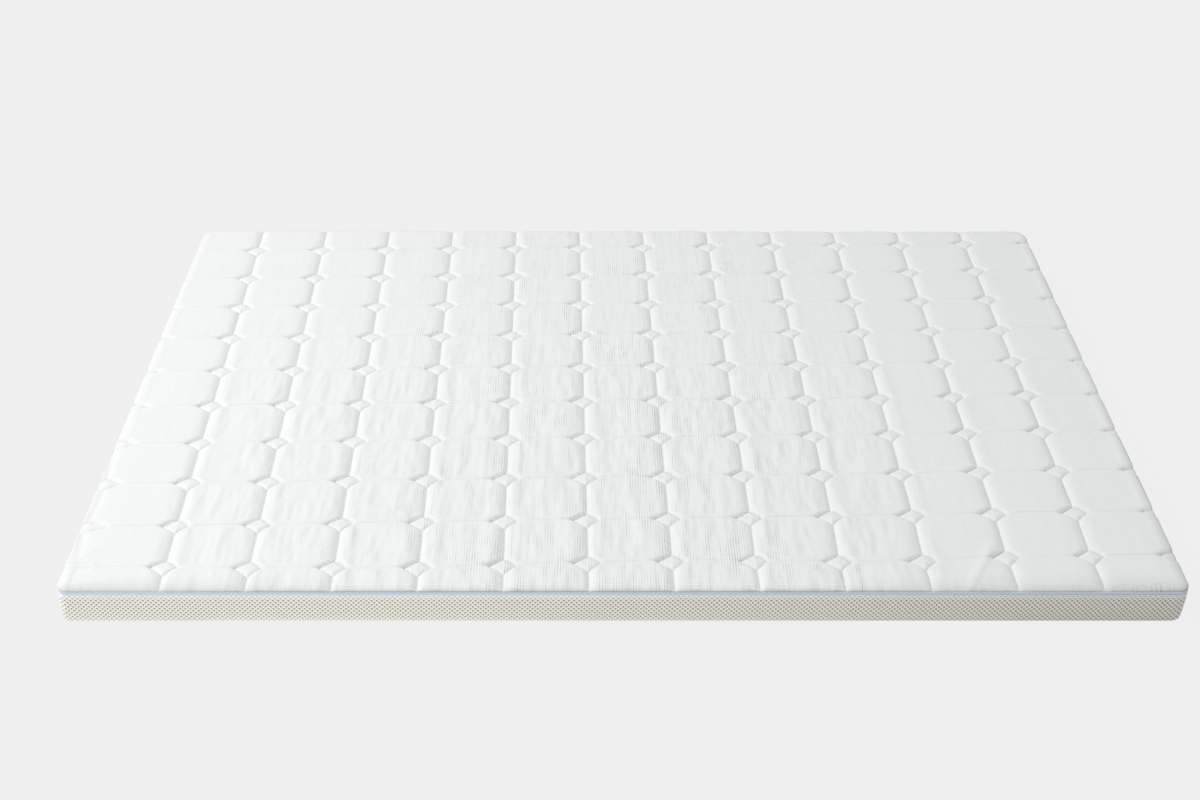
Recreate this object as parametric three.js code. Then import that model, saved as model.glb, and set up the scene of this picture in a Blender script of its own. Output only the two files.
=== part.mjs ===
// A quilted mattress cover on a thin mattress, lying flat.
// Millimetres, +Z up. X runs along the length, Y across it, and the origin is under the middle of the base.
// The front edge is at -Y and the left edge at -X.

import * as THREE from "three";

// Outline of the seam between the top panel and the side border
const LENGTH = 2000;
const WIDTH = 1500;
const CORNERS = [
  { x: 1, y: -1, radius: 16 },
  { x: 1, y: 1, radius: 30 },
  { x: -1, y: 1, radius: 30 },
  { x: -1, y: -1, radius: 16 },
];
const CORNER_STEPS = 6;

// Heights above the floor, and the space that neighbouring pieces keep
const GAP = 0.3;
const BASE_THICKNESS = 3;
const BORDER_THICKNESS = 3;
const BORDER_TOP = 61.7;
const PIPING_RADIUS = 2.2;
const PANEL_UNDERSIDE = BORDER_TOP + GAP;
const PANEL_RIM = 65.6;
const CHANNEL_FLOOR = 67.7;
const PAD_TOP = 75.7;
const PAD_CROWN = 1.2;
const PAD_UNEVEN = { height: 0.8, column: 2.1, row: 1.3 };
const DIAMOND_TOP = 72.7;

// Outside of the side border: out is measured outwards from the seam's outline
const BORDER_PROFILE = [
  { out: -0.3, z: BORDER_TOP },
  { out: 1.8, z: 53 },
  { out: 2.8, z: 40 },
  { out: 2.6, z: 22 },
  { out: 1.3, z: 9 },
  { out: -0.7, z: 3.3 },
  { out: -3.8, z: 0.7 },
  { out: -7.5, z: 0 },
  { out: -13.5, z: 0 },
];
// How far the foot of the right end leans in, and how the lean grows from the seam down
const LEAN = 5;
const LEAN_POWER = 1.3;
const PIPING_OUT = -0.1;
const PANEL_OUT = PIPING_OUT - PIPING_RADIUS - GAP;
const PIPING_SIDES = 8;

// Quilting lattice: where the four outermost whole diamonds lie, from the left and front edges
const COLUMNS = 12;
const ROWS = 10;
const LATTICE = {
  frontLeft: { x: 173.5, y: 51.5 },
  frontRight: { x: 1849.5, y: 98.5 },
  backLeft: { x: 138.5, y: 1384.5 },
  backRight: { x: 1842.5, y: 1423.5 },
};
// The front row of diamonds is pulled about by the front seam, one value for each column
const FRONT_ROW_SHIFT = [17, 8, 6, 1, 3.5, 8.5, 9, 6, -2, -4, 5.5, 3.5];
const BACK_ROW_SHIFT = 3.5;
// Half of a diamond's diagonals, along the length and across it
const DIAMOND_REACH = { along: 26, across: 24 };

// The flat of a pad as a share of its outline, and how far a narrow pad may rise for its half width
const PAD_FLAT = 0.76;
const DIAMOND_FLAT = 0.45;
const RISE_FOR_HALF_WIDTH = 0.4;
const MERGE_STEP = 1e-3;

const COLOURS = { quilt: 0xeef0f0, piping: 0xb4cbe0, mesh: 0xd2cdc1, base: 0xe4e2dc, foam: 0xf1ead2 };

function fabric(colour, roughness) {
  return new THREE.MeshStandardMaterial({ color: colour, roughness, metalness: 0 });
}

// The seam's outline moved outwards by a distance, at a height, as one anticlockwise loop
function outline(out, z) {
  const points = [];
  const lean = LEAN * Math.max(1 - z / BORDER_TOP, 0) ** LEAN_POWER;
  CORNERS.forEach((corner, k) => {
    const radius = corner.radius + out;
    const inwards = corner.x > 0 ? lean : 0;
    const cx = corner.x * (LENGTH / 2 - corner.radius - inwards);
    const cy = corner.y * (WIDTH / 2 - corner.radius);
    for (let step = 0; step <= CORNER_STEPS; step++) {
      const angle = (Math.PI / 2) * (k - 1 + step / CORNER_STEPS);
      points.push(new THREE.Vector2(cx + radius * Math.cos(angle), cy + radius * Math.sin(angle)));
    }
  });
  return points;
}

// Collects triangles and joins their corners where they meet
class Shell {
  constructor() {
    this.positions = [];
    this.triangles = [];
    this.known = new Map();
  }

  point(x, y, z) {
    const key = [x, y, z].map((value) => Math.round(value / MERGE_STEP)).join(" ");
    if (!this.known.has(key)) {
      this.known.set(key, this.positions.length / 3);
      this.positions.push(x, y, z);
    }
    return this.known.get(key);
  }

  triangle(a, b, c) {
    if (a !== b && b !== c && a !== c) {
      this.triangles.push(a, b, c);
    }
  }

  quad(a, b, c, d) {
    this.triangle(a, b, c);
    this.triangle(a, c, d);
  }

  // Fills between two loops of equal length, the first one outside or below
  band(lower, upper) {
    lower.forEach((a, k) => {
      const next = (k + 1) % lower.length;
      this.quad(a, lower[next], upper[next], upper[k]);
    });
  }

  fan(loop, centre) {
    loop.forEach((a, k) => this.triangle(a, loop[(k + 1) % loop.length], centre));
  }

  // Each edge that only one triangle uses, in that triangle's direction
  openEdges() {
    const edges = new Map();
    for (let t = 0; t < this.triangles.length; t += 3) {
      for (let k = 0; k < 3; k++) {
        const a = this.triangles[t + k];
        const b = this.triangles[t + ((k + 1) % 3)];
        if (!edges.delete(`${b} ${a}`)) {
          edges.set(`${a} ${b}`, [a, b]);
        }
      }
    }
    return [...edges.values()];
  }

  mesh(name, material) {
    const geometry = new THREE.BufferGeometry();
    geometry.setAttribute("position", new THREE.Float32BufferAttribute(this.positions, 3));
    geometry.setIndex(this.triangles);
    geometry.computeVertexNormals();
    const mesh = new THREE.Mesh(geometry, material);
    mesh.name = name;
    return mesh;
  }
}

function loopAt(shell, out, z) {
  return outline(out, z).map((p) => shell.point(p.x, p.y, z));
}

// A closed section swept round the outline: its points run anticlockwise with out to the right and z up
function ring(section) {
  const shell = new Shell();
  const loops = section.map(({ out, z }) => loopAt(shell, out, z));
  loops.forEach((loop, k) => shell.band(loop, loops[(k + 1) % loops.length]));
  return shell;
}

// A solid slab whose side follows levels given from the bottom up
function slab(levels) {
  const shell = new Shell();
  const loops = levels.map(({ out, z }) => loopAt(shell, out, z));
  for (let k = 0; k + 1 < loops.length; k++) {
    shell.band(loops[k], loops[k + 1]);
  }
  shell.fan([...loops[0]].reverse(), shell.point(0, 0, levels[0].z));
  shell.fan(loops.at(-1), shell.point(0, 0, levels.at(-1).z));
  return shell;
}

// The border's profile moved inwards along its normals
function insideBorder(distance) {
  const last = BORDER_PROFILE.length - 1;
  return BORDER_PROFILE.map(({ out, z }, k) => {
    const before = BORDER_PROFILE[Math.max(k - 1, 0)];
    const after = BORDER_PROFILE[Math.min(k + 1, last)];
    const run = new THREE.Vector2(after.out - before.out, after.z - before.z).normalize();
    const inwards = new THREE.Vector2(run.y, -run.x);
    if (k === 0) {
      inwards.set(-1, 0);
    } else if (k === last) {
      inwards.set(0, 1);
    }
    return { out: out + distance * inwards.x, z: z + distance * inwards.y };
  });
}

function basePanel() {
  const out = BORDER_PROFILE.at(-1).out - GAP;
  return slab([
    { out, z: 0 },
    { out, z: BASE_THICKNESS },
  ]);
}

function mattress() {
  const levels = insideBorder(BORDER_THICKNESS + GAP).reverse();
  return slab(levels);
}

function border() {
  return ring([...insideBorder(BORDER_THICKNESS), ...[...BORDER_PROFILE].reverse()]);
}

function piping() {
  const section = [];
  for (let side = 0; side < PIPING_SIDES; side++) {
    const angle = (2 * Math.PI * side) / PIPING_SIDES;
    section.push({
      out: PIPING_OUT + PIPING_RADIUS * Math.cos(angle),
      z: PANEL_UNDERSIDE + PIPING_RADIUS + PIPING_RADIUS * Math.sin(angle),
    });
  }
  return ring(section);
}

// Centre of the diamond in a column and a row, seen from above
function diamondCentre(column, row) {
  const u = column / (COLUMNS - 1);
  const v = row / (ROWS - 1);
  const { frontLeft, frontRight, backLeft, backRight } = LATTICE;
  const blend = (axis) =>
    (1 - v) * ((1 - u) * frontLeft[axis] + u * frontRight[axis]) +
    v * ((1 - u) * backLeft[axis] + u * backRight[axis]);
  return new THREE.Vector2(blend("x") - LENGTH / 2, blend("y") + rowShift(column, row) - WIDTH / 2);
}

function rowShift(column, row) {
  if (row === 0) {
    return FRONT_ROW_SHIFT[THREE.MathUtils.clamp(column, 0, COLUMNS - 1)];
  }
  return row === ROWS - 1 ? BACK_ROW_SHIFT : 0;
}

// The four tips of a diamond: its diagonals lie along the row and the column
function diamondTips(column, row) {
  const centre = diamondCentre(column, row);
  const along = diamondCentre(column + 1, row).sub(diamondCentre(column - 1, row)).setLength(DIAMOND_REACH.along);
  const across = along.clone().rotateAround(new THREE.Vector2(), Math.PI / 2).setLength(DIAMOND_REACH.across);
  return {
    left: centre.clone().sub(along),
    right: centre.clone().add(along),
    front: centre.clone().sub(across),
    back: centre.clone().add(across),
  };
}

function diamondOutline(column, row) {
  const { right, back, left, front } = diamondTips(column, row);
  return [right, back, left, front];
}

function padOutline(column, row) {
  const nearLeft = diamondTips(column, row);
  const nearRight = diamondTips(column + 1, row);
  const farRight = diamondTips(column + 1, row + 1);
  const farLeft = diamondTips(column, row + 1);
  return [
    nearLeft.right,
    nearRight.left,
    nearRight.back,
    farRight.front,
    farRight.left,
    farLeft.right,
    farLeft.front,
    nearLeft.back,
  ];
}

// Keeps the part of a convex polygon inside a convex anticlockwise loop
function clip(polygon, loop) {
  return loop.reduce((points, a, k) => {
    const b = loop[(k + 1) % loop.length];
    const side = (p) => (b.x - a.x) * (p.y - a.y) - (b.y - a.y) * (p.x - a.x);
    return points.flatMap((p, n) => {
      const q = points[(n + 1) % points.length];
      const sp = side(p);
      const sq = side(q);
      const kept = sp >= 0 ? [p] : [];
      return sp >= 0 !== sq >= 0 ? [...kept, p.clone().lerp(q, sp / (sp - sq))] : kept;
    });
  }, polygon);
}

function halfWidth(polygon, centre) {
  const distances = polygon.map((a, k) => {
    const b = polygon[(k + 1) % polygon.length];
    return Math.abs(b.clone().sub(a).cross(centre.clone().sub(a))) / Math.max(a.distanceTo(b), MERGE_STEP);
  });
  return Math.min(...distances);
}

// One pad: its edge lies in the channels or on the rim, and its flat stands on a sloped shoulder
function raisePad(shell, whole, rimLoop, flatShare, top) {
  const polygon = clip(whole, rimLoop);
  if (polygon.length < 3) {
    return;
  }
  const centre = polygon.reduce((sum, p) => sum.add(p), new THREE.Vector2()).divideScalar(polygon.length);
  const rise = Math.min(top - CHANNEL_FLOOR, RISE_FOR_HALF_WIDTH * halfWidth(polygon, centre));
  const isWhole = (p) => whole.includes(p);
  const edge = polygon.map((p) => shell.point(p.x, p.y, isWhole(p) ? CHANNEL_FLOOR : PANEL_RIM));
  const flat = polygon.map((p) => {
    const q = centre.clone().lerp(p, flatShare);
    return shell.point(q.x, q.y, CHANNEL_FLOOR + rise);
  });
  const peak = CHANNEL_FLOOR + rise * (1 + PAD_CROWN / (PAD_TOP - CHANNEL_FLOOR));
  shell.band(edge, flat);
  shell.fan(flat, shell.point(centre.x, centre.y, peak));
}

function topPanel() {
  const shell = new Shell();
  const rimLoop = outline(PANEL_OUT, PANEL_RIM);
  for (let row = -1; row <= ROWS; row++) {
    for (let column = -1; column <= COLUMNS; column++) {
      raisePad(shell, diamondOutline(column, row), rimLoop, DIAMOND_FLAT, DIAMOND_TOP);
    }
  }
  for (let row = -2; row <= ROWS; row++) {
    for (let column = -2; column <= COLUMNS; column++) {
      const uneven = PAD_UNEVEN.height * Math.sin(PAD_UNEVEN.column * column + PAD_UNEVEN.row * row);
      raisePad(shell, padOutline(column, row), rimLoop, PAD_FLAT, PAD_TOP + uneven);
    }
  }
  const middle = shell.point(0, 0, PANEL_UNDERSIDE);
  const below = (k) => shell.point(shell.positions[3 * k], shell.positions[3 * k + 1], PANEL_UNDERSIDE);
  for (const [a, b] of shell.openEdges()) {
    shell.quad(b, a, below(a), below(b));
    shell.triangle(below(b), below(a), middle);
  }
  return shell;
}

const cover = new THREE.Group();
cover.add(
  topPanel().mesh("top_panel", fabric(COLOURS.quilt, 0.95)),
  piping().mesh("piping", fabric(COLOURS.piping, 0.8)),
  border().mesh("border", fabric(COLOURS.mesh, 0.9)),
  basePanel().mesh("base_panel", fabric(COLOURS.base, 0.95)),
  mattress().mesh("mattress", fabric(COLOURS.foam, 0.9)),
);

export default cover;
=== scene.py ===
"""The looks of a quilted mattress cover on a thin mattress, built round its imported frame.

Everything is in metres. X runs along the length, Y from front to back, and Z up from the floor.
"""

import math
from types import SimpleNamespace

import bmesh
import bpy
import numpy as np
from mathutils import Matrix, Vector


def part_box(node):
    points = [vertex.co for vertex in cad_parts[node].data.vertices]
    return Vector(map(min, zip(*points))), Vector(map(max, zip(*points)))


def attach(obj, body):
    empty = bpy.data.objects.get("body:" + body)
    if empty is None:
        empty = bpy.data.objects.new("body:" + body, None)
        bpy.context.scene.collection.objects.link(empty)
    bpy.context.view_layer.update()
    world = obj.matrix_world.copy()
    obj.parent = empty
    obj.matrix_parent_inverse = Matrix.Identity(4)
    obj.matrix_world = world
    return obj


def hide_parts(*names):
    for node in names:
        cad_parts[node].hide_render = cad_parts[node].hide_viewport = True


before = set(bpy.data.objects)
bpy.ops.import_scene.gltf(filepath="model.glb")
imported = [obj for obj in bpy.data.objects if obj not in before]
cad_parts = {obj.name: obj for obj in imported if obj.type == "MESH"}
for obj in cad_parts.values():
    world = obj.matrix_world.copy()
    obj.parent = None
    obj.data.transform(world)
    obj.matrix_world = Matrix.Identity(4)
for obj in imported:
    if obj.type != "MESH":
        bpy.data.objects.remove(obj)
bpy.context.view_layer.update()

MM = 0.001

# The frame's boxes that the visible pieces are measured from
piping_low, piping_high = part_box("piping")
panel_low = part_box("top_panel")[0]
base_low, base_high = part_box("base_panel")

# The seam between the top panel and the side border. The frame's cord lies CORD_INSET inside it, and
# the cord made here lies CORD_PUSH outside it, CORD_DROP lower and a little wavy.
CORD_RADIUS = (piping_high.z - piping_low.z) / 2
CORD_INSET = 0.1 * MM
CORD_PUSH = 0.7 * MM
CORD_DROP = 0.7 * MM
CORD_WAVE = 0.15 * MM
CORD_SIDES = 12
CORD_PLACES = 1400
SEAM_HEIGHT = (piping_high.z + piping_low.z) / 2
HALF_LENGTH = piping_high.x - CORD_RADIUS + CORD_INSET
HALF_WIDTH = piping_high.y - CORD_RADIUS + CORD_INSET
CORNER_RADII = {"front_left": 16 * MM, "front_right": 16 * MM, "back_right": 30 * MM, "back_left": 30 * MM}
CORNER_PLACES = 25

# The top panel's own outline, inside the seam
PANEL_INSET = 2.6 * MM
PANEL_HALF_LENGTH = HALF_LENGTH - PANEL_INSET
PANEL_HALF_WIDTH = HALF_WIDTH - PANEL_INSET

# The quilting lattice: the middles of the outermost whole diamonds, from the front left corner
COLUMNS = 12
ROWS = 10
FRONT_LEFT = (173.5 * MM, 51.5 * MM)
FRONT_RIGHT = (1849.5 * MM, 98.5 * MM)
BACK_LEFT = (138.5 * MM, 1384.5 * MM)
BACK_RIGHT = (1842.5 * MM, 1423.5 * MM)
COLUMN_PITCH = 153 * MM
ROW_PITCH = 148 * MM

# How sewing has pulled the lattice out of true. The front row is shifted back by one value for each
# column, and its right half slides left. The back row is shifted back as a whole. The middle columns
# lie a little to the left, the rows bend forwards and then back near the right end, and the pattern is
# pulled over the left edge, more so near the front.
FRONT_ROW_SHIFT = np.array([17, 8, 6, 1, 3.5, 8.5, 9, 6, -2, -4, 5.5, 3.5]) * MM
FRONT_ROW_SLIDE = 4 * MM
BACK_ROW_SHIFT = 3.5 * MM
COLUMN_BOW = 2.2 * MM
ROW_BEND_FORWARDS = 2.5 * MM
ROW_BEND_BACK = 5 * MM
LEFT_PULL = 4 * MM
FRONT_LEFT_PULL = 7 * MM

# Half of a diamond's diagonal from front to back, how much longer its other diagonal is, and how far
# the long channels are sewn to the right of the diamonds' middles
DIAMOND_REACH = 24 * MM
DIAMOND_WIDENING = 26 / 24
SEAM_OFFSET = 2.4 * MM

# Heights of the quilted surface: its edge, its channels above the floor, and its pads and diamonds
# above the channels
RIM_HEIGHT = 65.6 * MM
CHANNEL_FLOOR = 67.7 * MM
PAD_RISE = 8.2 * MM
DIAMOND_RISE = 6.0 * MM

# The distance from its stitches at which each channel is down to about a third of its depth, and the
# depth of the shallow ones as a share of a pad's rise. Where channels meet, a higher MITRE gives a
# sharper corner.
LONG_REACH = 8.0 * MM
CROSS_REACH = 4.5 * MM
CROSS_DEPTH = 0.05
CREASE_REACH = 1.5 * MM
CREASE_DEPTH = 0.06
CORNER_REACH = 2.5 * MM
PILLOW_REACH = 3.8 * MM
MITRE = 5.0

# Heights of the knit's soft folds, and the one long fold at the front right: where it starts at the
# seam from the left end, and how far right it has gone at its length
DIP_DEPTH = 2.4 * MM
PATCH_HEIGHT = 0.9 * MM
WAVE_HEIGHT = 0.5 * MM
SWELL_HEIGHT = 0.5 * MM
PUCKER_HEIGHT = 1.0 * MM
FRONT_FOLD = {"height": 1.2 * MM, "start": 1.630, "slant": 0.045, "length": 0.16, "reach": 8 * MM}

# The rounded edge of the pads, wider and lower at the front: its width seen from above, and the
# points of its curve, outwards from the seam and up as a share of the height
SIDE_ROLL = {"width": 14 * MM, "out": (-PANEL_INSET, 10 * MM, 2.5 * MM), "up": (0, 0.1, 1, 1)}
FRONT_ROLL = {"width": 14 * MM, "out": (-PANEL_INSET, 3.8 * MM, -1.0 * MM), "up": (0, -0.06, 1.02, 1)}
SOFT_ROLL = {"width": 28 * MM, "out": (-PANEL_INSET, 6.0 * MM, -5.0 * MM), "up": (0, -0.06, 0.94, 1)}
RIM_LIFT = 1.1 * MM
RIM_LIFT_REACH = 0.7 * MM
FRONT_DROOP = 0.4 * MM

# Painted shade on the knit towards the seam, at most, and besides near one corner
RIM_PAINTED_SHADE = 0.24
CORNER_PAINTED_SHADE = 0.08

# The side border's section, outwards from the seam and up: its outside from the top edge to the
# underside, and its plain inside from there up again
BORDER_TOP = 61.7 * MM
BORDER_PROFILE = [
    (1.3 * MM, BORDER_TOP),
    (2.1 * MM, 58 * MM),
    (2.6 * MM, 52 * MM),
    (2.8 * MM, 40 * MM),
    (2.6 * MM, 22 * MM),
    (1.3 * MM, 9 * MM),
    (-0.7 * MM, 3.3 * MM),
    (-3.8 * MM, 0.7 * MM),
    (-7.5 * MM, 0),
    (-13.5 * MM, 0),
]
BORDER_INSIDE = [
    (-13.5 * MM, 3 * MM),
    (-4.4 * MM, 8 * MM),
    (-0.6 * MM, 30 * MM),
    (-3.3 * MM, BORDER_TOP),
]
BORDER_BULGE = 0.5 * MM
INSIDE_MAP_STEP = 10 * MM

# How far the foot of the right end leans in, and how the lean grows from the seam down
LEAN = 5 * MM
LEAN_POWER = 1.3

# The border's holes: their spacing along it, half of the spacing down it, their depth, where they end
# down the section, and the rows of the mesh beyond that
HOLE_PITCH = 9.2 * MM
HOLE_ROW = 4.4 * MM
HOLE_DEPTH = 1.1 * MM
HOLES_END = 52 * MM
PLACES_PER_HOLE = 4
ROWS_BEYOND = np.array([57, 63, 68]) * MM

# Distances of the top panel's mesh lines: from a channel on both of its sides, across the pads
# between, and from the panel's edge. An edge line is cut within EDGE_STRIP of the edge, and takes
# over the points that lie nearer to it than EDGE_SNAP.
NEAR_LINES = np.array([0, 2, 4, 8, 12, 16, 20, 22, 24]) * MM
PAD_COLUMN_LINES = np.array([30, 37, 45, 55, 66, 78, 89, 103, 113, 122]) * MM
PAD_ROW_LINES = np.array([36, 54, 74, 94, 112]) * MM
EDGE_LINES = np.array([1.0, 2.2, 3.8, 6, 9, 13, 18]) * MM
EDGE_STRIP = 30 * MM
EDGE_SNAP = 0.35 * MM
UNDERSIDE_MARK = -1

# How many points the base sheet has along X and along Y
BASE_PLACES = (61, 45)

# The knit's pattern: the spacing of its ribs and of the dashes across them, and how many of each
# uneven thing there are to a metre, for streaks and folds along X, Y and Z
RIB_PITCH = 5 * MM
DASH_PITCH = 6.5 * MM
STREAKS_PER_METRE = (75.0, 7.0, 0.0)
FOLDS_PER_METRE = (36.0, 9.0, 0.0)
PATCHES_PER_METRE = 9.0
SPOTS_PER_METRE = 45.0
LOOPS_PER_METRE = 700.0
WRINKLES_PER_METRE = 120.0

# Heights of the knit's fine relief, counted in RELIEF_UNIT
RELIEF_UNIT = 1 * MM
RIB_RELIEF = 0.14
STREAK_RELIEF = 2.3
DASH_RELIEF = 0.22
LOOP_RELIEF = 0.2
FOLD_RELIEF = 11.0
CREST_RELIEF = 2.8
WRINKLE_RELIEF = 3.0

# The crest of the long fold at the front right lies where X less CREST_SLANT times Y is CREST_PLACE
CREST_SLANT = 0.5
CREST_PLACE = 0.985

# Threads to a metre of each woven cloth
CORD_THREADS = 900.0
BASE_THREADS = 700.0
FOAM_THREADS = 300.0

# Display colours, from 0 to 255
COLOURS = {
    "knit": (243.2, 244.7, 243.3),
    "cord_thread": (230, 240, 249),
    "cord_between": (208, 222, 236),
    "mesh_yarn": (251, 246, 236),
    "mesh_yarn_at_cord": (253, 254, 255),
    # the holes: the inner layer seen through, darkened with painted shade in the hollows
    "mesh_hole": (178, 170, 155),
    "mesh_hole_at_cord": (228, 237, 247),
    "base_thread": (232, 230, 224),
    "base_between": (206, 203, 196),
    "foam": (240, 232, 208),
    "foam_pores": (226, 216, 190),
}

# The studio: the floor, the light all round, one soft lamp at the left, and the camera, whose lens is
# in millimetres and whose turn is in degrees
FLOOR_SIZE = 200
FLOOR_SEEN = 0.845
SKY_COLOUR = (0.97, 0.985, 1.0, 1)
SKY_STRENGTH = 0.655
LAMP_PLACE = (-4.16, -0.4, 3.7)
LAMP_SIZE = 1.8
LAMP_POWER = 130
LENS = 56.77
SENSOR_WIDTH = 36
CAMERA_PLACE = (-0.0578, -3.4801, 2.0245)
CAMERA_TURN = (60.1376, -0.158, -0.2183)


def value_noise(x, y, seed):
    """Smooth noise from -1 to 1 that changes over one unit of x and y."""
    table = np.random.default_rng(seed).uniform(-1, 1, (256, 256))
    i, j = np.floor(x).astype(int), np.floor(y).astype(int)
    s, t = x - i, y - j
    s, t = s * s * (3 - 2 * s), t * t * (3 - 2 * t)
    corner = [[table[(i + a) % 256, (j + b) % 256] for b in (0, 1)] for a in (0, 1)]
    near = corner[0][0] * (1 - t) + corner[0][1] * t
    far = corner[1][0] * (1 - t) + corner[1][1] * t
    return near * (1 - s) + far * s


def smooth_step(value, low, high):
    """A smooth change from 0 to 1 while the value goes from low to high."""
    t = np.clip((value - low) / (high - low), 0, 1)
    return t * t * (3 - 2 * t)


def fade(value, low, high):
    """A smooth change from 1 to 0 while the value goes from low to high."""
    return 1 - smooth_step(value, low, high)


def bell(value, middle, reach):
    """A smooth hump: 1 at the middle, and down to about a third at the reach."""
    return np.exp(-(((value - middle) / reach) ** 2))


def lengths_along(points):
    """The length of the line through the points, up to each of them."""
    steps = np.linalg.norm(np.diff(points, axis=0), axis=1)
    return np.concatenate([[0], np.cumsum(steps)])


def read_at(wanted, along, values):
    """Rows of values, known at the lengths along a line, read at the wanted lengths."""
    return np.stack([np.interp(wanted, along, column) for column in values.T], -1)


def lattice_place(u, v):
    """Where column u and row v of the quilting lie, as x and y."""
    s, t = u / (COLUMNS - 1), v / (ROWS - 1)
    place = []
    for axis, half in ((0, HALF_LENGTH), (1, HALF_WIDTH)):
        front = (1 - s) * FRONT_LEFT[axis] + s * FRONT_RIGHT[axis]
        back = (1 - s) * BACK_LEFT[axis] + s * BACK_RIGHT[axis]
        place.append((1 - t) * front + t * back - half)
    x, y = place
    front_row = np.clip(1 - np.abs(v), 0, 1)
    back_row = np.clip(1 - np.abs(v - ROWS + 1), 0, 1)
    x = x + COLUMN_BOW * ((2 * s - 1) ** 2 - 0.33)
    x = x - FRONT_ROW_SLIDE * smooth_step(s, 0.5, 0.72) * front_row
    y = y + np.interp(u, np.arange(COLUMNS), FRONT_ROW_SHIFT) * front_row
    y = y + BACK_ROW_SHIFT * back_row
    forwards = ROW_BEND_FORWARDS * bell(s, 0.76, 0.12) * np.clip(4 * t * (1 - t), 0, 1)
    backwards = ROW_BEND_BACK * bell(s, 1, 0.07) * smooth_step(t, 0.15, 0.4)
    return x, y - forwards + backwards


def pulled_left(x, y):
    """How far the pattern is pulled to the left, over the left edge and most of all near the front."""
    front = fade(y + HALF_WIDTH, 0.15, 0.33)
    return (LEFT_PULL + FRONT_LEFT_PULL * front) * fade(x + HALF_LENGTH, 8 * MM, 40 * MM)


def lattice_coordinates(x, y):
    """The column and row, with fractions, at each x and y: the reverse of lattice_place."""
    x = x + pulled_left(x, y)
    u = (x + HALF_LENGTH) / COLUMN_PITCH - 1
    v = (y + HALF_WIDTH) / ROW_PITCH - 1
    for _ in range(14):
        tried_x, tried_y = lattice_place(u, v)
        u = u + (x - tried_x) / COLUMN_PITCH
        v = v + (y - tried_y) / ROW_PITCH
    return u, v


def from_channel(dx):
    """Distance along X from the long channel, scaled on each side of it so that the diamond's tip lies
    at DIAMOND_REACH. dx is measured from the diamond's middle."""
    beside = dx - SEAM_OFFSET
    offset = SEAM_OFFSET / DIAMOND_REACH
    return beside / (DIAMOND_WIDENING + np.where(beside < 0, offset, -offset))


def quilting_at(x, y):
    """Where each place lies in the quilting: its cell of the lattice, and measures from the nearest
    diamond. The long channel over the left edge is column -1, and past the last column there is none."""
    u, v = lattice_coordinates(x, y)
    column, row = np.rint(u), np.rint(v)
    dx = (u - column) * COLUMN_PITCH
    dy = (v - row) * ROW_PITCH
    across = from_channel(dx)
    over_left = column < 0
    open_corner = over_left & (row <= 0)
    dy_inside = dy * np.where(over_left, 1.25, 1.0)
    beyond = (np.abs(across) + np.abs(dy_inside) - DIAMOND_REACH) / math.sqrt(2)
    return SimpleNamespace(
        x=x,
        y=y,
        row=row,
        cell_u=np.floor(u),
        cell_v=np.floor(v),
        dx=dx,
        dy=dy,
        from_left=np.where(dx > 0, dx, dx + COLUMN_PITCH),
        across=across,
        dy_inside=dy_inside,
        beyond=beyond,
        sewn=column < COLUMNS,
        over_left=over_left,
        open_corner=open_corner,
        in_diamond=(beyond < 0) & ~open_corner,
    )


def joined(deficits):
    """Several channels' shares of the missing height as one, with mitred corners between them."""
    missing = sum(np.clip(deficit, 0, 1) ** MITRE for deficit in deficits) ** (1 / MITRE)
    return np.minimum(missing, 1)


def pad_rise(at):
    """Height of the octagon pads above the channels' floor. The cross channels are shallow, most of all
    at the back, and deeper near the right end."""
    held = np.where(at.over_left, smooth_step(at.y + HALF_WIDTH, 0.06, 0.11), 1.0) * at.sewn
    long_reach = LONG_REACH * np.where(at.over_left, 0.45, 1.0) * np.where(at.dx > SEAM_OFFSET, 0.86, 1.0)
    long_channel = np.exp(-np.abs(at.dx - SEAM_OFFSET) / long_reach) * held * np.where(at.over_left, 0.5, 1.0)
    slackness = 0.8 + 0.2 * value_noise(at.cell_u * 2.3 + 0.5, at.row * 1.7 + 0.5, seed=5)
    cross_channel = CROSS_DEPTH * np.exp(-np.abs(at.dy) / CROSS_REACH) * slackness
    cross_channel = cross_channel + CREASE_DEPTH * np.exp(-np.abs(at.dy) / CREASE_REACH)
    cross_channel = cross_channel * (1 - 0.85 * smooth_step(at.y, -0.6, 0.0))
    cross_channel = cross_channel * (1 + 1.6 * smooth_step(at.x, 0.78, 0.95))
    cut_corner = np.exp(-np.maximum(at.beyond, 0) / CORNER_REACH) * np.where(at.open_corner, 0.25, 1.0)
    fullness = 1 + 0.07 * value_noise(at.cell_u * 3.7, at.cell_v * 5.3, seed=3)
    return PAD_RISE * (1 - joined([long_channel, cross_channel, cut_corner])) * fullness


def pillow_rise(at):
    """Height of the diamond pillows above the channels' floor, rounded towards their four sides."""
    sides = []
    for a in (-1, 1):
        for b in (-1, 1):
            inside = np.maximum(DIAMOND_REACH - a * at.across - b * at.dy_inside, 0) / math.sqrt(2)
            sides.append(np.exp(-inside / PILLOW_REACH))
    return DIAMOND_RISE * (1 - joined(sides))


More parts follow.
